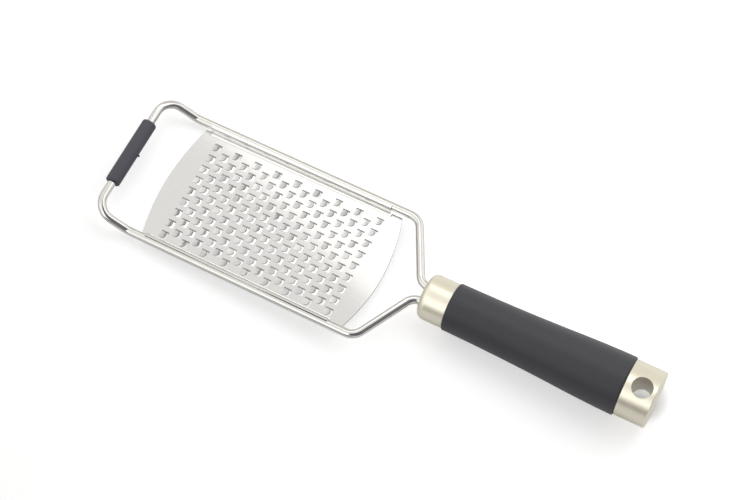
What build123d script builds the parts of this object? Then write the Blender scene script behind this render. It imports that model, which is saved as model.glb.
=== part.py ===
from build123d import *
from math import asin, atan2, cos, degrees, hypot, radians, sin, tan
import os

os.makedirs("parts", exist_ok=True)

# Lengths are in millimetres and angles in degrees. The tool is drawn with the middle line
# of its handle as X, the rasp face up and the middle of the tooth field at x = 0. The last
# step tips it into the attitude in which it lies on a table.

# Clearances and cuts
fit_gap = 0.25
joint_gap = 0.1
overrun = 1.0

# Wire frame: one round wire, from tang to tang
wire_radius = 2.2
rail_offset = 36.4
loop_start = -65.0
loop_side = 19.85
loop_angle = 25.0
loop_bend_radius = 6.0
loop_corner_radius = 9.5
leg_start = 66.4
leg_bend_radius = 8.0
leg_end = 83.5
leg_end_radius = 7.0
tang_offset = 4.2
tang_end = 148.0

# Rasp blade: sheet, outline and hems
sheet = 0.45
sheet_drop = 3.4
blade_side = 33.95
far_corner = -58.6
far_edge = -63.1
near_corner = 57.5
near_edge = 63.5
hem_far = -55.0
hem_near = 51.0
hem_bend = 1.6
hem_lip_angle = 12.0
notch = 0.6

# Teeth: a punched slot with a raised tongue whose lip faces the handle. The punched field sits
# a little to one side of the rails
tooth_step = 6.0
tooth_spacing = 7.0
long_rows = 9
short_rows = 8
field_shift = -1.0
slot_length = 4.4
slot_width = 4.4
tongue_width = 4.0
tongue_length = 3.4
tongue_height = 1.15
tongue_knee_share = 0.5
tongue_knee_height_share = 0.3
tongue_corner = 1.2
lip_at = 1.0
lip_lean = 0.12
root_run = 0.3

# Foot sleeve
sleeve_radius = 3.95
sleeve_length = 38.8
sleeve_round = 0.9
nub_radius = 0.6
nub_height = 0.9

# Handle: ferrule, core, grip and end cap share one middle line
ferrule_front = 87.9
ferrule_back = 102.75
ferrule_radius = 12.1
ferrule_round = 3.9
ferrule_wall = 1.0
ferrule_face = 1.4
grip_end = 197.75
grip_step = 0.6
grip_front_slope = 0.004
swell_at = 168.0
swell_radius = 14.65
grip_back_radius = 15.6
grip_round = 0.7
rubber = 3.0
cap_end = 214.25
cap_radius = 14.85
cap_bevel = 0.45
cap_turn = 9.0
socket_radius = 11.0
socket_depth = 2.6
hang_at = 206.7
hang_radius = 5.3

clear_radius = wire_radius + fit_gap
crossbar_at = loop_start - loop_side * cos(radians(loop_angle))
crossbar_height = loop_side * sin(radians(loop_angle))


def draw_bent_wire(corners, radii):
    """Draws straight runs between the corners, with an arc of its own radius at each."""
    start = corners[0]
    for before, corner, after, radius in zip(corners, corners[1:], corners[2:], radii):
        back = (before - corner).normalized()
        ahead = (after - corner).normalized()
        half_angle = radians(back.get_angle(ahead)) / 2
        reach = radius / tan(half_angle)
        bow = radius / sin(half_angle) - radius
        first = corner + back * reach
        middle = corner + (back + ahead).normalized() * bow
        last = corner + ahead * reach
        Line(start, first)
        ThreePointArc(first, middle, last)
        start = last
    Line(start, corners[-1])


# The wire runs from one tang along a rail, round the bent-up loop and back
half_corners = [
    Vector(tang_end, tang_offset, 0),
    Vector(leg_end, tang_offset, 0),
    Vector(leg_start, rail_offset, 0),
    Vector(loop_start, rail_offset, 0),
    Vector(crossbar_at, rail_offset, crossbar_height),
]
half_radii = [leg_end_radius, leg_bend_radius, loop_bend_radius, loop_corner_radius]
other_corners = [Vector(corner.X, -corner.Y, corner.Z) for corner in reversed(half_corners)]

with BuildPart() as wire_frame:
    with BuildLine() as wire_path:
        draw_bent_wire(half_corners + other_corners, half_radii + half_radii[::-1])
    with BuildSketch(Plane(origin=wire_path.line @ 0, z_dir=wire_path.line % 0)):
        Circle(wire_radius)
    sweep()

# One raised tongue, with its lip at x = 0 and the sheet's upper face at z = 0
knee = -tongue_length * tongue_knee_share
knee_height = tongue_height * tongue_knee_height_share
root = -tongue_length - root_run

with BuildPart() as tooth:
    with BuildSketch(Plane.XZ):
        with BuildLine():
            Polyline(
                (root, 0),
                (-tongue_length, 0),
                (knee, knee_height),
                (0, tongue_height),
                (lip_lean, tongue_height - sheet),
                (knee + lip_lean, knee_height - sheet),
                (-tongue_length + lip_lean, -sheet),
                (root, -sheet),
                close=True,
            )
        make_face()
    extrude(amount=tongue_width / 2, both=True)
    with BuildSketch(Plane.XY.offset(-sheet - overrun)) as tongue_plan:
        with Locations(((root + lip_lean) / 2, 0)):
            Rectangle(lip_lean - root, tongue_width)
        chamfer(tongue_plan.vertices().sort_by(Axis.X)[-2:], tongue_corner)
    extrude(amount=tongue_height + sheet + 2 * overrun, mode=Mode.INTERSECT)

# The sheet lies below the rails. Its long edges stand up inside the wires and curl over them
flange_outside = rail_offset - clear_radius
flange_inside = flange_outside - sheet
bend_start = flange_inside - hem_bend
curl_radius = clear_radius + sheet
slot_middle = lip_at - tongue_length + slot_length / 2

with BuildPart() as rasp_blade:
    with BuildSketch(Plane.XY.offset(-sheet_drop - sheet)):
        with BuildLine():
            ThreePointArc((near_corner, -blade_side), (near_edge, field_shift), (near_corner, blade_side))
            Polyline(
                (near_corner, blade_side),
                (hem_near + notch, blade_side),
                (hem_near + notch, bend_start),
                (hem_far - notch, bend_start),
                (hem_far - notch, blade_side),
                (far_corner, blade_side),
            )
            ThreePointArc((far_corner, blade_side), (far_edge, field_shift), (far_corner, -blade_side))
            Polyline(
                (far_corner, -blade_side),
                (hem_far - notch, -blade_side),
                (hem_far - notch, -bend_start),
                (hem_near + notch, -bend_start),
                (hem_near + notch, -blade_side),
                (near_corner, -blade_side),
            )
        make_face()
        for rows in (long_rows, short_rows):
            with Locations((slot_middle, field_shift)):
                with GridLocations(2 * tooth_step, tooth_spacing, rows, rows):
                    Rectangle(slot_length, slot_width, mode=Mode.SUBTRACT)
    extrude(amount=sheet)
    with BuildSketch(Plane.YZ.offset(hem_far)):
        with BuildLine():
            Line((bend_start - overrun, -sheet_drop), (bend_start, -sheet_drop))
            JernArc((bend_start, -sheet_drop), (1, 0), hem_bend, 90)
            Line((flange_inside, hem_bend - sheet_drop), (flange_inside, 0))
            outer_curl = JernArc((flange_inside, 0), (0, 1), curl_radius, hem_lip_angle - 90)
            inner_curl = JernArc((flange_outside, 0), (0, 1), clear_radius, hem_lip_angle - 90)
            Line(outer_curl @ 1, inner_curl @ 1)
            Line((flange_outside, 0), (flange_outside, hem_bend - sheet_drop))
            JernArc((flange_outside, hem_bend - sheet_drop), (0, -1), hem_bend + sheet, -90)
            Polyline(
                (bend_start, -sheet_drop - sheet),
                (bend_start - overrun, -sheet_drop - sheet),
                (bend_start - overrun, -sheet_drop),
            )
        make_face()
        mirror(about=Plane.YZ)
    extrude(amount=hem_near - hem_far)
    for rows in (long_rows, short_rows):
        with Locations((lip_at, field_shift, -sheet_drop)):
            with GridLocations(2 * tooth_step, tooth_spacing, rows, rows):
                add(tooth.part)

# The rubber tube on the crossbar, with the nub left by its mould
with BuildPart() as foot_sleeve:
    with Locations(Location((crossbar_at, 0, crossbar_height), (90, 0, 0))):
        Cylinder(sleeve_radius, sleeve_length)
    fillet(foot_sleeve.edges().filter_by(GeomType.CIRCLE), sleeve_round)
    with Locations(Location((crossbar_at, 0, crossbar_height), (0, 90, 0))):
        Cylinder(nub_radius, sleeve_radius + nub_height, align=(Align.CENTER, Align.CENTER, Align.MIN))
    with Locations(Location((crossbar_at, 0, crossbar_height), (90, 0, 0))):
        Cylinder(clear_radius, sleeve_length + overrun, mode=Mode.SUBTRACT)

# A cup-shaped collar with a bore for each tang
ferrule_inside = ferrule_radius - ferrule_wall

with BuildPart() as front_ferrule:
    with BuildSketch() as ferrule_section:
        with Locations((ferrule_front, 0)):
            Rectangle(ferrule_back - ferrule_front, ferrule_radius, align=(Align.MIN, Align.MIN))
        fillet(ferrule_section.vertices().sort_by(Axis.X)[:2].sort_by(Axis.Y)[-1], ferrule_round)
    revolve(axis=Axis.X)
    with BuildSketch(Plane.YZ.offset(ferrule_back)) as ferrule_cup:
        Circle(ferrule_inside)
    extrude(amount=ferrule_front + ferrule_face + ferrule_round - ferrule_back, mode=Mode.SUBTRACT)
    with BuildSketch(Plane.YZ.offset(ferrule_front)):
        with GridLocations(2 * tang_offset, 0, 2, 1):
            Circle(clear_radius)
    extrude(amount=ferrule_back - ferrule_front, mode=Mode.SUBTRACT)

# The plastic body under the grip, with a spigot at each end and two tang bores
core_front = ferrule_front + ferrule_face + ferrule_round + joint_gap
core_back = grip_end + socket_depth
grip_start = ferrule_back + joint_gap
grip_front_radius = ferrule_radius + grip_step
core_front_radius = grip_front_radius - rubber
core_back_radius = grip_back_radius - rubber

with BuildPart() as handle_core:
    with BuildSketch():
        with BuildLine():
            Polyline(
                (core_front, 0),
                (core_front, ferrule_inside - fit_gap),
                (grip_start, ferrule_inside - fit_gap),
                (grip_start, core_front_radius),
                (grip_end, core_back_radius),
                (grip_end, socket_radius - fit_gap),
                (core_back, socket_radius - fit_gap),
                (core_back, 0),
                close=True,
            )
        make_face()
    revolve(axis=Axis.X)
    with BuildSketch(Plane.YZ.offset(core_front - overrun)):
        with GridLocations(2 * tang_offset, 0, 2, 1):
            Circle(clear_radius)
    extrude(amount=tang_end + fit_gap - core_front + overrun, mode=Mode.SUBTRACT)

# The rubber over the core, slim at the ferrule and swelling towards the butt
with BuildPart() as soft_grip:
    with BuildSketch() as grip_section:
        with BuildLine():
            waist = TangentArc(
                (grip_start, grip_front_radius),
                (swell_at, swell_radius),
                tangent=(1, grip_front_slope),
            )
            TangentArc(waist @ 1, (grip_end, grip_back_radius), tangent=waist % 1)
            Polyline(
                (grip_end, grip_back_radius),
                (grip_end, core_back_radius + fit_gap),
                (grip_start, core_front_radius + fit_gap),
                (grip_start, grip_front_radius),
            )
        make_face()
        ends = grip_section.vertices().group_by(Axis.X)
        fillet([corners.sort_by(Axis.Y)[-1] for corners in (ends[0], ends[-1])], grip_round)
    revolve(axis=Axis.X)

# The metal butt, turned a little on the handle as in the photo
cap_start = grip_end + joint_gap

with BuildPart() as end_cap:
    with BuildSketch(Plane.YZ.offset(cap_start)):
        Circle(cap_radius)
    extrude(amount=cap_end - cap_start)
    chamfer(end_cap.edges().filter_by(GeomType.CIRCLE), cap_bevel)
    with BuildSketch(Plane.YZ.offset(cap_start)):
        Circle(socket_radius)
    extrude(amount=socket_depth, mode=Mode.SUBTRACT)
    with Locations(Location((hang_at, 0, 0), (cap_turn, 0, 0))):
        Cylinder(hang_radius, 2 * (cap_radius + overrun), mode=Mode.SUBTRACT)

# The tool lies on the middle of the blade's far edge and on the rounded rim of the ferrule
contact_run = ferrule_front + ferrule_round - far_edge
contact_rise = ferrule_radius - ferrule_round - sheet_drop - sheet
contact_reach = hypot(contact_run, contact_rise)
rest_angle = degrees(asin(ferrule_round / contact_reach) + atan2(contact_rise, contact_run))
tipped = Location((0, 0, 0), (0, -rest_angle, 0))

pieces = {
    "wire_frame": wire_frame,
    "rasp_blade": rasp_blade,
    "foot_sleeve": foot_sleeve,
    "front_ferrule": front_ferrule,
    "handle_core": handle_core,
    "soft_grip": soft_grip,
    "end_cap": end_cap,
}
box = Compound(children=[piece.part.moved(tipped) for piece in pieces.values()]).bounding_box()
rest_place = Location((-box.center().X, 0, -box.min.Z)) * tipped
for label, piece in pieces.items():
    piece.part = piece.part.moved(rest_place)
    piece.part.label = label
    export_step(piece.part, f"parts/{label}.step")
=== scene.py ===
import bpy
import bmesh
from math import cos, radians, sin
from mathutils import Matrix, Vector
from random import Random


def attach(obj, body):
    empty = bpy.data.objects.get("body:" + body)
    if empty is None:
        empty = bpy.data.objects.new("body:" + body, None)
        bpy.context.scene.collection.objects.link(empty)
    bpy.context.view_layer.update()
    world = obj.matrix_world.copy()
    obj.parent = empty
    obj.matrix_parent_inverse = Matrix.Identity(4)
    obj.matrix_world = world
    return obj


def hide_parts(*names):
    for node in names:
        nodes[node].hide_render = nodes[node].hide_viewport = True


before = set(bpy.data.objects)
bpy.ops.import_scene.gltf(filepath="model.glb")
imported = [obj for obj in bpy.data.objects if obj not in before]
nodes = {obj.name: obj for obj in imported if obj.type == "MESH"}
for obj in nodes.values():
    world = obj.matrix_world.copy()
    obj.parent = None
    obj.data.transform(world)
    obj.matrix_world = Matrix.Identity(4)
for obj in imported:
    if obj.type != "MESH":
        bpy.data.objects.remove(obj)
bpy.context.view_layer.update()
print("frame loaded")


# Node helpers
def startMaterial(name):
    material = bpy.data.materials.new(name)
    material.use_nodes = True
    tree = material.node_tree
    return material, tree, tree.nodes["Principled BSDF"]


def addNode(tree, kind, **values):
    node = tree.nodes.new(kind)
    for name, value in values.items():
        setattr(node, name, value)
    return node


def addColorMix(tree, dark, light):
    mixed = addNode(tree, "ShaderNodeMix", data_type="RGBA")
    mixed.inputs["A"].default_value = dark + (1,)
    mixed.inputs["B"].default_value = light + (1,)
    return mixed


# Every finish is a pair of tones and a pair of roughnesses, spread by one fine noise. The noise is
# drawn out where its stretch is small, as brushing does
looks = {
    "polished_steel": {
        "dark": (0.7, 0.69, 0.66), "light": (0.78, 0.77, 0.74), "metallic": 1,
        "stretch": (1, 1, 1), "scale": 300, "roughness": (0.05, 0.1), "bump": 0.02,
    },
    "satin_steel": {
        "dark": (0.71, 0.7, 0.68), "light": (0.76, 0.75, 0.73), "metallic": 1,
        "stretch": (0.2, 1, 1), "scale": 900, "roughness": (0.1, 0.14), "bump": 0.02,
    },
    # The hems and their rims: a lighter copy of the blade's steel, painted light on the rolled
    # edges
    "hem_steel_painted_light": {
        "dark": (0.84, 0.832, 0.81), "light": (0.88, 0.87, 0.85), "metallic": 1,
        "stretch": (0.2, 1, 1), "scale": 900, "roughness": (0.2, 0.23), "bump": 0.01,
    },
    "tooth_steel": {  # coarse enough for one tooth to be greyer than the next
        "dark": (0.44, 0.437, 0.433), "light": (1.0, 0.99, 0.975), "metallic": 1,
        "stretch": (1, 1, 1), "scale": 130, "roughness": (0.26, 0.32), "bump": 0.02,
    },
    # The tongues' cut rims: painted shade of the gap under each raised tongue
    "tongue_rim_painted_shade": {
        "dark": (0.3, 0.3, 0.29), "light": (0.4, 0.395, 0.385), "metallic": 1,
        "stretch": (1, 1, 1), "scale": 900, "roughness": (0.35, 0.5), "bump": 0.05,
    },
    # The sheet's cut rims and turned-down edges: the rough tone of a sheared edge, darkened further
    # as painted shade of the slots' walls and gaps
    "cut_edge_and_painted_shade": {
        "dark": (0.37, 0.37, 0.36), "light": (0.49, 0.485, 0.475), "metallic": 1,
        "stretch": (1, 1, 1), "scale": 900, "roughness": (0.45, 0.6), "bump": 0.05,
    },
    "champagne_metal": {
        "dark": (0.9, 0.855, 0.715), "light": (0.925, 0.88, 0.74), "metallic": 1,
        "stretch": (1, 0.03, 0.03), "scale": 2200, "roughness": (0.34, 0.37), "bump": 0.02,
    },
    "dark_rubber": {
        "dark": (0.084, 0.083, 0.104), "light": (0.106, 0.105, 0.128), "metallic": 0,
        "stretch": (1, 1, 1), "scale": 1500, "roughness": (0.5, 0.62), "bump": 0.15,
    },
    "grip_rubber": {
        "dark": (0.036, 0.035, 0.044), "light": (0.054, 0.053, 0.064), "metallic": 0, "sheen": 0.12,
        "stretch": (1, 1, 1), "scale": 900, "roughness": (0.42, 0.56), "bump": 0.3,
    },
    "core_plastic": {
        "dark": (0.05, 0.05, 0.05), "light": (0.07, 0.07, 0.07), "metallic": 0,
        "stretch": (1, 1, 1), "scale": 800, "roughness": (0.4, 0.5), "bump": 0.05,
    },
}
grainDepth = 0.0001


def makeFineGrain():
    group = bpy.data.node_groups.new("fineGrain", "ShaderNodeTree")
    group.interface.new_socket("Stretch", in_out="INPUT", socket_type="NodeSocketVector")
    for name in ("Scale", "Low", "High"):
        group.interface.new_socket(name, in_out="INPUT", socket_type="NodeSocketFloat")
    for name in ("Value", "Height"):
        group.interface.new_socket(name, in_out="OUTPUT", socket_type="NodeSocketFloat")
    inputs = addNode(group, "NodeGroupInput")
    outputs = addNode(group, "NodeGroupOutput")
    coords = addNode(group, "ShaderNodeTexCoord")
    stretch = addNode(group, "ShaderNodeVectorMath", operation="MULTIPLY")
    noise = addNode(group, "ShaderNodeTexNoise")
    spread = addNode(group, "ShaderNodeMapRange")
    group.links.new(coords.outputs["Object"], stretch.inputs[0])
    group.links.new(inputs.outputs["Stretch"], stretch.inputs[1])
    group.links.new(stretch.outputs["Vector"], noise.inputs["Vector"])
    group.links.new(inputs.outputs["Scale"], noise.inputs["Scale"])
    group.links.new(noise.outputs["Fac"], spread.inputs["Value"])
    group.links.new(inputs.outputs["Low"], spread.inputs["To Min"])
    group.links.new(inputs.outputs["High"], spread.inputs["To Max"])
    group.links.new(spread.outputs["Result"], outputs.inputs["Value"])
    group.links.new(noise.outputs["Fac"], outputs.inputs["Height"])
    return group


fineGrain = makeFineGrain()


def makeGrained(name, look):
    material, tree, shader = startMaterial(name)
    grain = addNode(tree, "ShaderNodeGroup", node_tree=fineGrain)
    grain.inputs["Stretch"].default_value = look["stretch"]
    grain.inputs["Scale"].default_value = look["scale"]
    grain.inputs["Low"].default_value, grain.inputs["High"].default_value = look["roughness"]
    tree.links.new(grain.outputs["Value"], shader.inputs["Roughness"])
    colors = addColorMix(tree, look["dark"], look["light"])
    tree.links.new(grain.outputs["Height"], colors.inputs["Factor"])
    tree.links.new(colors.outputs["Result"], shader.inputs["Base Color"])
    bump = addNode(tree, "ShaderNodeBump")
    bump.inputs["Strength"].default_value = look["bump"]
    bump.inputs["Distance"].default_value = grainDepth
    tree.links.new(grain.outputs["Height"], bump.inputs["Height"])
    tree.links.new(bump.outputs["Normal"], shader.inputs["Normal"])
    shader.inputs["Metallic"].default_value = look["metallic"]
    shader.inputs["Sheen Weight"].default_value = look.get("sheen", 0)
    return material


materials = {name: makeGrained(name, look) for name, look in looks.items()}

# The bore of the hanging hole is painted darker than the brushed outside, as painted shade in the
# recess, with faint rings down its wall; the painted shade reaches over the rim as a thin dark ring
boreShadeLook = {
    "place": (0.142685, 0, 0.018204),  # the middle of the bore, in metres
    "tilt": 3.0507,  # degrees about Y, as the tool lies on the table
    "turn": 9.0,  # degrees about X, as the cap sits on the handle
    "wall": 0.00525,  # all bore inside this radius
    "line": 0.0057,  # all cap outside this radius
    "dark": (0.46, 0.43, 0.37),
    "light": (0.85, 0.79, 0.69),
    "ringScale": 600,
    "ringStretch": (0.05, 0.05, 1),
}


# Mask and colour of the painted shade in the bore and on its rim
def makeBoreShadeMask():
    group = bpy.data.node_groups.new("boreShadeMask", "ShaderNodeTree")
    group.interface.new_socket("Mask", in_out="OUTPUT", socket_type="NodeSocketFloat")
    group.interface.new_socket("Color", in_out="OUTPUT", socket_type="NodeSocketColor")
    outputs = addNode(group, "NodeGroupOutput")
    coords = addNode(group, "ShaderNodeTexCoord")
    centred = addNode(group, "ShaderNodeMapping", vector_type="TEXTURE")
    centred.inputs["Location"].default_value = boreShadeLook["place"]
    turn, tilt = radians(boreShadeLook["turn"]), radians(-boreShadeLook["tilt"])
    centred.inputs["Rotation"].default_value = (turn, tilt, 0)
    sideways = addNode(group, "ShaderNodeVectorMath", operation="MULTIPLY")
    sideways.inputs[1].default_value = (1, 1, 0)
    fromAxis = addNode(group, "ShaderNodeVectorMath", operation="LENGTH")
    inside = addNode(group, "ShaderNodeMapRange", interpolation_type="SMOOTHSTEP")
    inside.inputs["From Min"].default_value = boreShadeLook["line"]
    inside.inputs["From Max"].default_value = boreShadeLook["wall"]
    drawnOut = addNode(group, "ShaderNodeVectorMath", operation="MULTIPLY")
    drawnOut.inputs[1].default_value = boreShadeLook["ringStretch"]
    rings = addNode(group, "ShaderNodeTexNoise")
    rings.inputs["Scale"].default_value = boreShadeLook["ringScale"]
    colors = addColorMix(group, boreShadeLook["dark"], boreShadeLook["light"])
    group.links.new(coords.outputs["Object"], centred.inputs["Vector"])
    group.links.new(centred.outputs["Vector"], sideways.inputs[0])
    group.links.new(sideways.outputs["Vector"], fromAxis.inputs[0])
    group.links.new(fromAxis.outputs["Value"], inside.inputs["Value"])
    group.links.new(centred.outputs["Vector"], drawnOut.inputs[0])
    group.links.new(drawnOut.outputs["Vector"], rings.inputs["Vector"])
    group.links.new(rings.outputs["Fac"], colors.inputs["Factor"])
    group.links.new(inside.outputs["Result"], outputs.inputs["Mask"])
    group.links.new(colors.outputs["Result"], outputs.inputs["Color"])
    return group


# The cap's brushed metal, with the bore's painted shade mixed into its colour
def makeCapMetal():
    material = makeGrained("cap_metal", looks["champagne_metal"])
    tree = material.node_tree
    shader = tree.nodes["Principled BSDF"]
    bore = addNode(tree, "ShaderNodeGroup", node_tree=makeBoreShadeMask())
    mixed = addNode(tree, "ShaderNodeMix", data_type="RGBA")
    tree.links.new(shader.inputs["Base Color"].links[0].from_socket, mixed.inputs["A"])
    tree.links.new(bore.outputs["Mask"], mixed.inputs["Factor"])
    tree.links.new(bore.outputs["Color"], mixed.inputs["B"])
    tree.links.new(mixed.outputs["Result"], shader.inputs["Base Color"])
    return material


materials["cap_metal"] = makeCapMetal()
nodeFinish = {
    "wire_frame": "polished_steel",
    "rasp_blade": "satin_steel",
    "foot_sleeve": "dark_rubber",
    "front_ferrule": "champagne_metal",
    "handle_core": "core_plastic",
    "soft_grip": "grip_rubber",
    "end_cap": "cap_metal",
}
for name, finish in nodeFinish.items():
    nodes[name].data.materials.clear()
    nodes[name].data.materials.append(materials[finish])
print("materials made")

# The blade is drawn in millimetres and degrees, lengthwise along X, with the handle at the +X end
# and the rails' middle line at height 0. toolFrame then lays it on the table, in metres
millimetre = 0.001
bladeShape = {
    "tilt": 3.0507,
    "shift": Vector((-0.063722, 0, 0.007203)),
    "sheet": 0.45,
    "drop": 3.4,  # from the rails' middle line down to the sheet's upper face
    "side": 33.95,
    "farCorner": -58.6,
    "farEdge": -63.1,
    "nearCorner": 57.5,
    "nearEdge": 63.5,
    "edgeSteps": 28,
    "endRoll": 0.22,  # how far the end by the handle is turned down
    "hemFar": -55.0,
    "hemNear": 51.0,
    "notch": 0.6,  # between a hem and the sheet's wider end
    "bend": 1.6,
    "bendSteps": 8,
    "railOffset": 36.4,
    "curl": 2.9,
    "curlSteps": 12,
    "lipAngle": 12.0,
    "weldShare": 0.01,  # of the sheet's thickness
}
# A slot and its raised tongue. The tongue is rooted on the front side, and its lip faces the handle
toothShape = {
    "step": 6.0,  # along the blade, from a row of one grid to the next row of the other
    "spacing": 7.0,  # across the blade
    "rows": (9, 8),  # rows and columns of the two grids
    "fieldShift": -1.0,  # of all teeth, across the blade
    "slotLength": 4.4,
    "slotWidth": 4.4,
    "slotRound": 0.45,
    "slotRoundSteps": 3,
    "turnedBeside": 2,  # short edges turned down with the straight one, at each side
    "slotFarRoom": -0.05,  # moves the far side only
    "rolledEdge": (-0.75, -0.35),  # how far the slot's far edge is turned in and down
    "length": 3.4,
    "nearSide": 2.1,  # the tongue's reach to each side of the slot's middle
    "farSide": 1.4,
    "height": 1.15,
    "lipAt": 1.0,
    "lipRound": 1.35,
    "scoop": 1.85,  # 1 is a straight ramp
    "arch": 0.12,  # how much lower the sides are than the middle, as a share
    "nod": 4.8,  # usual chance bend about the root, in degrees
    "lean": 2.0,  # and about the tongue's length
    "seed": 3,
    "gridAlong": 7,
    "gridAcross": 5,
}
# The blade's finishes in pairs, each face and then its cut rim. The sheet's rim and the turned
# edges share the second place
# The darker rims and turned edges are painted shade, and the hems' lighter steel is painted light
bladeFinishes = (
    "satin_steel", "cut_edge_and_painted_shade", "cut_edge_and_painted_shade", "tooth_steel", "tongue_rim_painted_shade", "hem_steel_painted_light", "hem_steel_painted_light",
)
turnedFinish, toothFinish, hemFinish = 1, 3, 5


def toolFrame():
    turn = Matrix.Rotation(radians(-bladeShape["tilt"]), 4, "Y")
    return Matrix.Translation(bladeShape["shift"]) @ turn @ Matrix.Scale(millimetre, 4)


def addLoop(bm, points):
    corners = [bm.verts.new((x, y, 0)) for x, y in points]
    return [bm.edges.new((a, b)) for a, b in zip(corners, corners[1:] + corners[:1])]


def vertsIn(items):
    return [item for item in items if isinstance(item, bmesh.types.BMVert)]


def edgesIn(items):
    return [item for item in items if isinstance(item, bmesh.types.BMEdge)]


# One end of the sheet bows out from its corners, most on the middle line of the teeth
def bowedEnd(cornerX, edgeX, side):
    shift, steps = toothShape["fieldShift"], bladeShape["edgeSteps"]
    points = []
    for i in range(steps + 1):
        y = side * (2 * i / steps - 1)
        share = (y - shift) / (abs(side) + (shift if y < shift else -shift))
        points.append((cornerX + (edgeX - cornerX) * (1 - share * share), y))
    return points


def sheetOutline():
    shape = bladeShape
    bendStart = shape["railOffset"] - shape["curl"] - shape["bend"]
    nearHem, farHem = shape["hemNear"] + shape["notch"], shape["hemFar"] - shape["notch"]
    farSide = [(nearHem, shape["side"]), (nearHem, bendStart), (shape["hemNear"], bendStart)]
    farSide += [(shape["hemFar"], bendStart), (farHem, bendStart), (farHem, shape["side"])]
    nearSide = [(x, -y) for x, y in reversed(farSide)]
    nearEnd = bowedEnd(shape["nearCorner"], shape["nearEdge"], shape["side"])
    farEnd = bowedEnd(shape["farCorner"], shape["farEdge"], -shape["side"])
    return nearEnd + farSide + farEnd + nearSide


def toothPlaces():
    for count in toothShape["rows"]:
        for i in range(count):
            for j in range(count):
                x = (i - (count - 1) / 2) * 2 * toothShape["step"]
                y = (j - (count - 1) / 2) * toothShape["spacing"] + toothShape["fieldShift"]
                yield x + toothShape["lipAt"], y


def slotOutline(x, y):
    shape = toothShape
    rounding, steps = shape["slotRound"], shape["slotRoundSteps"]
    middle = x - shape["length"] + shape["slotLength"] / 2
    inX, inY = shape["slotLength"] / 2 - rounding, shape["slotWidth"] / 2 - rounding
    points = []
    for quarter, (signX, signY) in enumerate(((1, 1), (-1, 1), (-1, -1), (1, -1))):
        room = shape["slotFarRoom"] if signY > 0 else 0
        for i in range(steps + 1):
            angle = radians(90 * quarter + 90 * i / steps)
            cornerX, cornerY = middle + signX * inX, y + room + signY * inY
            points.append((cornerX + rounding * cos(angle), cornerY + rounding * sin(angle)))
    return points


def makeTongue():
    shape = toothShape
    bm = bmesh.new()
    bmesh.ops.create_grid(bm, x_segments=shape["gridAlong"], y_segments=shape["gridAcross"], size=1)
    half = (shape["nearSide"] + shape["farSide"]) / 2
    for vert in bm.verts:
        y = vert.co.y * half + (shape["farSide"] - shape["nearSide"]) / 2
        past = max(0, abs(vert.co.y) * half - (half - shape["lipRound"]))
        reach = shape["length"] - shape["lipRound"] + (shape["lipRound"] ** 2 - past ** 2) ** 0.5
        along = (vert.co.x + 1) / 2 * reach
        rise = shape["height"] * (along / shape["length"]) ** shape["scoop"]
        vert.co = (along - shape["length"], y, rise * (1 - shape["arch"] * vert.co.y ** 2))
    for face in bm.faces:
        face.material_index = toothFinish
    mesh = bpy.data.meshes.new("tongue")
    bm.to_mesh(mesh)
    bm.free()
    return mesh


def turnDown(bm, edges, shift):
    strip = bmesh.ops.extrude_edge_only(bm, edges=edges)["geom"]
    bmesh.ops.translate(bm, verts=vertsIn(strip), vec=shift)
    for item in strip:
        if isinstance(item, bmesh.types.BMFace):
            item.material_index = turnedFinish


# The flat sheet with its slots. The far side of each slot and the end by the handle are turned down
def addSheet(bm):
    edges = addLoop(bm, sheetOutline())
    farSides = []
    for x, y in toothPlaces():
        slot = addLoop(bm, slotOutline(x, y))
        edges += slot
        straight = toothShape["slotRoundSteps"]  # the far side's edge, after the first corner
        beside = toothShape["turnedBeside"]
        farSides += slot[straight - beside:straight + beside + 1]
    bmesh.ops.triangle_fill(bm, use_beauty=True, edges=edges, normal=(0, 0, 1))
    turnDown(bm, farSides, (0, *toothShape["rolledEdge"]))
    bmesh.ops.translate(bm, verts=bm.verts[:], vec=(0, 0, -bladeShape["drop"]))
    nearEnd = bladeShape["nearCorner"] - bladeShape["notch"]
    outer = [edge for edge in bm.edges if edge.is_boundary]
    endEdges = [edge for edge in outer if min(vert.co.x for vert in edge.verts) > nearEnd]
    turnDown(bm, endEdges, (bladeShape["endRoll"], 0, -bladeShape["endRoll"]))


# A hem bends up from the sheet, stands beside the rail and curls over it
def addHem(bm, sign):
    shape = bladeShape
    known = len(bm.faces)
    bendStart, top = shape["railOffset"] - shape["curl"] - shape["bend"], -shape["drop"]
    ends = [bm.verts.new((x, sign * bendStart, top)) for x in (shape["hemFar"], shape["hemNear"])]
    edge = bm.edges.new(ends)
    bend = bmesh.ops.spin(
        bm, geom=ends + [edge], cent=(0, sign * bendStart, top + shape["bend"]), axis=(1, 0, 0),
        angle=sign * radians(90), steps=shape["bendSteps"],
    )
    flange = bmesh.ops.extrude_edge_only(bm, edges=edgesIn(bend["geom_last"]))["geom"]
    raised = vertsIn(flange)
    bmesh.ops.translate(bm, verts=raised, vec=(0, 0, shape["drop"] - shape["bend"]))
    rim = raised + [item for item in edgesIn(flange) if all(vert in raised for vert in item.verts)]
    bmesh.ops.spin(
        bm, geom=rim, cent=(0, sign * shape["railOffset"], 0), axis=(1, 0, 0),
        angle=sign * radians(shape["lipAngle"] - 90), steps=shape["curlSteps"],
    )
    bm.faces.ensure_lookup_table()
    for face in bm.faces[known:]:
        face.material_index = hemFinish


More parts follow.
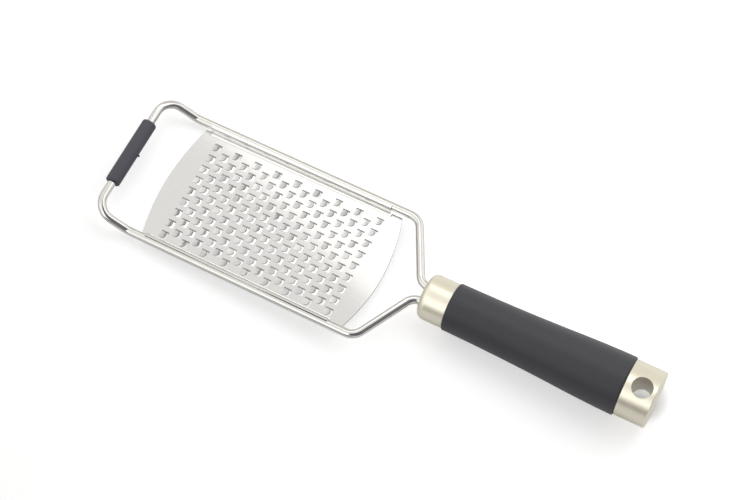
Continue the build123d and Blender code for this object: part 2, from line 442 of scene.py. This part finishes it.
# Every tongue is bent a little differently about its root
def addTeeth(bm):
    tongue = makeTongue()
    chance = Random(toothShape["seed"])
    hinge = Matrix.Translation((-toothShape["length"], 0, 0))
    for x, y in toothPlaces():
        known = len(bm.verts)
        bm.from_mesh(tongue)
        bm.verts.ensure_lookup_table()
        nod = Matrix.Rotation(radians(chance.gauss(0, toothShape["nod"])), 4, "Y")
        lean = Matrix.Rotation(radians(chance.gauss(0, toothShape["lean"])), 4, "X")
        place = Matrix.Translation((x, y, -bladeShape["drop"]))
        bent = place @ hinge @ nod @ lean @ hinge.inverted()
        bmesh.ops.transform(bm, matrix=bent, verts=bm.verts[known:])
    bpy.data.meshes.remove(tongue)


# The thickness is added behind the faces, so they all look up or towards the middle of the blade
def faceUpwards(bm):
    upright = 0.01
    bm.normal_update()
    turned = []
    for face in bm.faces:
        standing = abs(face.normal.z) <= upright
        outwards = face.normal.y * face.calc_center_median().y > 0
        if face.normal.z < -upright or (standing and outwards):
            turned.append(face)
    bmesh.ops.reverse_faces(bm, faces=turned)


def smoothWithinFinish(bm):
    for face in bm.faces:
        face.smooth = True
    for edge in bm.edges:
        finishes = {face.material_index for face in edge.link_faces}
        edge.smooth = not edge.is_boundary and len(finishes) == 1


def makeBlade():
    bm = bmesh.new()
    addSheet(bm)
    for sign in (1, -1):
        addHem(bm, sign)
    addTeeth(bm)
    faceUpwards(bm)
    weld = bladeShape["sheet"] * bladeShape["weldShare"]
    bmesh.ops.remove_doubles(bm, verts=bm.verts[:], dist=weld)
    bmesh.ops.transform(bm, matrix=toolFrame(), verts=bm.verts[:])
    smoothWithinFinish(bm)
    mesh = bpy.data.meshes.new("raspBlade")
    bm.to_mesh(mesh)
    bm.free()
    blade = bpy.data.objects.new("raspBlade", mesh)
    bpy.context.scene.collection.objects.link(blade)
    for finish in bladeFinishes:
        mesh.materials.append(materials[finish])
    thicken = blade.modifiers.new("thicken", "SOLIDIFY")
    thicken.thickness = bladeShape["sheet"] * millimetre
    thicken.offset = -1
    thicken.material_offset_rim = 1
    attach(blade, "root")
    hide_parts("rasp_blade")
    return blade


blade = makeBlade()
print("blade made", len(blade.data.vertices), len(blade.data.polygons))

# The floor glows a little to the camera and in reflections, less on a small disc under the cap,
# which is a painted shadow
floorSettings = {
    "size": 6.0,
    "color": (0.86, 0.86, 0.86, 1),
    "roughness": 0.8,
    "gloss": 0.2,
    "glow": 0.51,
    "sheen": 0.1,
    "paintedShadowPlace": (0.1433, 0.006, 0),
    "paintedShadowReach": 0.016,
    "paintedShadowShare": 0.3,
}


def makeFloorMaterial():
    material, tree, shader = startMaterial("paleFloor")
    shader.inputs["Base Color"].default_value = floorSettings["color"]
    shader.inputs["Roughness"].default_value = floorSettings["roughness"]
    shader.inputs["Specular IOR Level"].default_value = floorSettings["gloss"]
    glow = addNode(tree, "ShaderNodeEmission")
    glow.inputs["Color"].default_value = (1, 1, 1, 1)
    path = addNode(tree, "ShaderNodeLightPath")
    direct = addNode(tree, "ShaderNodeMath", operation="MULTIPLY")
    # Painted shadow: the glow falls to a share of itself on a small disc under the cap
    coords = addNode(tree, "ShaderNodeTexCoord")
    away = addNode(tree, "ShaderNodeVectorMath", operation="DISTANCE")
    away.inputs[1].default_value = floorSettings["paintedShadowPlace"]
    paintedShadow = addNode(tree, "ShaderNodeMapRange", interpolation_type="SMOOTHSTEP")
    paintedShadow.inputs["From Min"].default_value = floorSettings["paintedShadowReach"] / 2
    paintedShadow.inputs["From Max"].default_value = floorSettings["paintedShadowReach"]
    paintedShadow.inputs["To Min"].default_value = floorSettings["glow"] * floorSettings["paintedShadowShare"]
    paintedShadow.inputs["To Max"].default_value = floorSettings["glow"]
    amount = addNode(tree, "ShaderNodeMath", operation="MULTIPLY_ADD")
    amount.inputs[1].default_value = floorSettings["sheen"]
    both = addNode(tree, "ShaderNodeAddShader")
    tree.links.new(coords.outputs["Object"], away.inputs[0])
    tree.links.new(away.outputs["Value"], paintedShadow.inputs["Value"])
    tree.links.new(path.outputs["Is Camera Ray"], direct.inputs[0])
    tree.links.new(paintedShadow.outputs["Result"], direct.inputs[1])
    tree.links.new(path.outputs["Is Glossy Ray"], amount.inputs[0])
    tree.links.new(direct.outputs[0], amount.inputs[2])
    tree.links.new(amount.outputs[0], glow.inputs["Strength"])
    tree.links.new(shader.outputs[0], both.inputs[0])
    tree.links.new(glow.outputs[0], both.inputs[1])
    tree.links.new(both.outputs[0], tree.nodes["Material Output"].inputs["Surface"])
    return material


def makeFloor():
    mesh = bpy.data.meshes.new("floor")
    bm = bmesh.new()
    bmesh.ops.create_grid(bm, x_segments=1, y_segments=1, size=floorSettings["size"])
    bm.to_mesh(mesh)
    bm.free()
    floor = bpy.data.objects.new("floor", mesh)
    bpy.context.scene.collection.objects.link(floor)
    mesh.materials.append(makeFloorMaterial())


# What polished metal reflects of the room, each patch laid over the ones before it. Azimuth 0 is +Y
# and 90 is +X. A seam is a thin band at right angles to its direction
roomSettings = {"light": 0.62, "color": (0.96, 0.96, 0.95, 1)}
roomPatches = {
    "backGlow": {
        "azimuth": 205, "elevation": 40, "radius": 48, "softness": 14, "color": (1.2, 1.2, 1.19),
    },
    "frontShade": {
        "azimuth": -16, "elevation": 37, "radius": 30, "softness": 9, "color": (0.76, 0.75, 0.71),
    },
    "horizonShade": {
        "azimuth": 0, "elevation": -90, "radius": 106, "softness": 12, "color": (0.7, 0.67, 0.62),
    },
    "leftGlow": {
        "azimuth": -60, "elevation": 49, "radius": 20, "softness": 14, "color": (1.0, 1.0, 0.99),
    },
    "rightGlow": {
        "azimuth": 30, "elevation": 16, "radius": 30, "softness": 14, "color": (1.2, 1.2, 1.17),
    },
    "frontGlow": {
        "azimuth": 181, "elevation": 44, "radius": 24, "softness": 14, "color": (1.8, 1.8, 1.77),
    },
    "darkSide": {
        "azimuth": 118, "elevation": 46, "radius": 45, "softness": 9, "color": (0.15, 0.144, 0.172),
    },
    "sideGlow": {
        "azimuth": 57, "elevation": 35, "radius": 22, "softness": 9, "color": (1.1, 1.1, 1.07),
    },
    "frontDark": {
        "azimuth": 176, "elevation": 5, "radius": 27, "softness": 12, "color": (0.13, 0.12, 0.105),
    },
    "topSeam": {
        "azimuth": 0, "elevation": 11, "radius": 87, "softness": -3, "color": (0.5, 0.45, 0.37),
        "seam": True,  # full on its middle line, gone 3 degrees beside it
    },
}


def directionTo(azimuth, elevation):
    turn, rise = radians(azimuth), radians(elevation)
    return Vector((sin(turn) * cos(rise), cos(turn) * cos(rise), sin(rise)))


def addPatch(tree, direction, shown, patch):
    facing = addNode(tree, "ShaderNodeVectorMath", operation="DOT_PRODUCT")
    facing.inputs[1].default_value = directionTo(patch["azimuth"], patch["elevation"])
    edge = addNode(tree, "ShaderNodeMapRange", interpolation_type="SMOOTHSTEP")
    edge.inputs["From Min"].default_value = cos(radians(patch["radius"]))
    edge.inputs["From Max"].default_value = cos(radians(patch["radius"] - patch["softness"]))
    laid = addNode(tree, "ShaderNodeMix", data_type="RGBA")
    laid.inputs["B"].default_value = patch["color"] + (1,)
    tree.links.new(direction, facing.inputs[0])
    along = facing.outputs["Value"]
    if patch.get("seam"):
        bothWays = addNode(tree, "ShaderNodeMath", operation="ABSOLUTE")
        tree.links.new(along, bothWays.inputs[0])
        along = bothWays.outputs[0]
    tree.links.new(along, edge.inputs["Value"])
    tree.links.new(edge.outputs["Result"], laid.inputs["Factor"])
    tree.links.new(shown, laid.inputs["A"])
    return laid.outputs["Result"]


# The camera sees plain white behind the floor, and only reflections show the patches
def makeWorld():
    world = bpy.data.worlds.new("softRoom")
    bpy.context.scene.world = world
    world.use_nodes = True
    tree = world.node_tree
    background = tree.nodes["Background"]
    coords = addNode(tree, "ShaderNodeTexCoord")
    room = addNode(tree, "ShaderNodeRGB")
    room.outputs[0].default_value = roomSettings["color"]
    shown = room.outputs[0]
    for patch in roomPatches.values():
        shown = addPatch(tree, coords.outputs["Generated"], shown, patch)
    seen = addNode(tree, "ShaderNodeMix", data_type="RGBA")
    seen.inputs["B"].default_value = (1, 1, 1, 1)
    path = addNode(tree, "ShaderNodeLightPath")
    strength = addNode(tree, "ShaderNodeMix", data_type="FLOAT")
    strength.inputs["A"].default_value = roomSettings["light"]
    strength.inputs["B"].default_value = 1
    direct = addNode(tree, "ShaderNodeMath", operation="MAXIMUM")
    tree.links.new(shown, seen.inputs["A"])
    tree.links.new(path.outputs["Is Camera Ray"], seen.inputs["Factor"])
    tree.links.new(seen.outputs["Result"], background.inputs["Color"])
    tree.links.new(path.outputs["Is Camera Ray"], direct.inputs[0])
    tree.links.new(path.outputs["Is Glossy Ray"], direct.inputs[1])
    tree.links.new(direct.outputs[0], strength.inputs["Factor"])
    tree.links.new(strength.outputs["Result"], background.inputs["Strength"])


# One softbox in three strips side by side, so that its front edge fades out in the flat steel
panelSettings = {  # metres and watts
    "frontEdge": (Vector((-0.218, 0.188, 0.3)), Vector((-0.083, 0.131, 0.3))),
    "slide": 0.12,
    "width": 0.6,
    "depth": 0.5,
    "watts": 1.15,
}
panelStrips = {
    "panelRim": {"start": -0.035, "depth": 0.035, "share": 0.42, "inReflections": True},
    "softPanel": {"start": 0, "depth": 0.07, "share": 0.86, "inReflections": True},
    "fillPanel": {"start": 0.07, "depth": 0.43, "share": 1, "inReflections": False},
}


def makeStrip(name, strip):
    light = bpy.data.lights.new(name, "AREA")
    light.shape = "RECTANGLE"
    light.size, light.size_y = panelSettings["width"], strip["depth"]
    light.energy = panelSettings["watts"] * strip["share"] * strip["depth"] / panelSettings["depth"]
    lamp = bpy.data.objects.new(name, light)
    bpy.context.scene.collection.objects.link(lamp)
    first, last = panelSettings["frontEdge"]
    along = (last - first).normalized()
    inwards = Vector((-along.y, along.x, 0))
    middle = (first + last) / 2 + along * panelSettings["slide"]
    lamp.location = middle + inwards * (strip["start"] + strip["depth"] / 2)
    lamp.rotation_euler = Matrix((along, inwards, (0, 0, 1))).transposed().to_euler()
    lamp.visible_camera = False
    lamp.visible_glossy = strip["inReflections"]


# The light that comes through the slots and in from the sides, on the table below the blade
underLightSettings = {"watts": 0.007, "sideRoom": 11.6, "below": 4.3}  # millimetres from the rails


def makeUnderLight():
    light = bpy.data.lights.new("underBlade", "AREA")
    light.shape = "RECTANGLE"
    light.size = (bladeShape["hemNear"] - bladeShape["hemFar"]) * millimetre
    light.size_y = 2 * (bladeShape["railOffset"] - underLightSettings["sideRoom"]) * millimetre
    light.energy = underLightSettings["watts"]
    lamp = bpy.data.objects.new("underBlade", light)
    bpy.context.scene.collection.objects.link(lamp)
    place = toolFrame() @ Vector((0, 0, -underLightSettings["below"]))
    turn = Matrix.Rotation(radians(-bladeShape["tilt"]), 4, "Y")
    lamp.matrix_world = Matrix.Translation(place) @ turn
    lamp.visible_camera = False
    lamp.visible_glossy = False


# The camera stands where the photograph's did. It looks along +Y at azimuth 0
cameraSettings = {
    "target": Vector((-0.01013, 0.01128, 0.008)),
    "distance": 0.9636,
    "azimuth": 26.115,
    "elevation": 66.698,
    "roll": 1.481,
    "lens": 90.615,
    "sensor": 36.0,
    "clip": (0.01, 50),
}


def makeCamera():
    camera = bpy.data.objects.new("photoCamera", bpy.data.cameras.new("photoCamera"))
    bpy.context.scene.collection.objects.link(camera)
    camera.data.sensor_width = cameraSettings["sensor"]
    camera.data.lens = cameraSettings["lens"]
    camera.data.clip_start, camera.data.clip_end = cameraSettings["clip"]
    azimuth, elevation = radians(cameraSettings["azimuth"]), radians(cameraSettings["elevation"])
    back = Vector((sin(azimuth) * cos(elevation), -cos(azimuth) * cos(elevation), sin(elevation)))
    camera.location = cameraSettings["target"] + back * cameraSettings["distance"]
    roll = Matrix.Rotation(radians(cameraSettings["roll"]), 3, "Z")
    camera.rotation_euler = ((-back).to_track_quat("-Z", "Y").to_matrix() @ roll).to_euler()
    bpy.context.scene.camera = camera


makeFloor()
makeWorld()
for name, strip in panelStrips.items():
    makeStrip(name, strip)
makeUnderLight()
makeCamera()
bpy.context.scene.view_settings.view_transform = "Standard"
print("stage, light and camera ready")
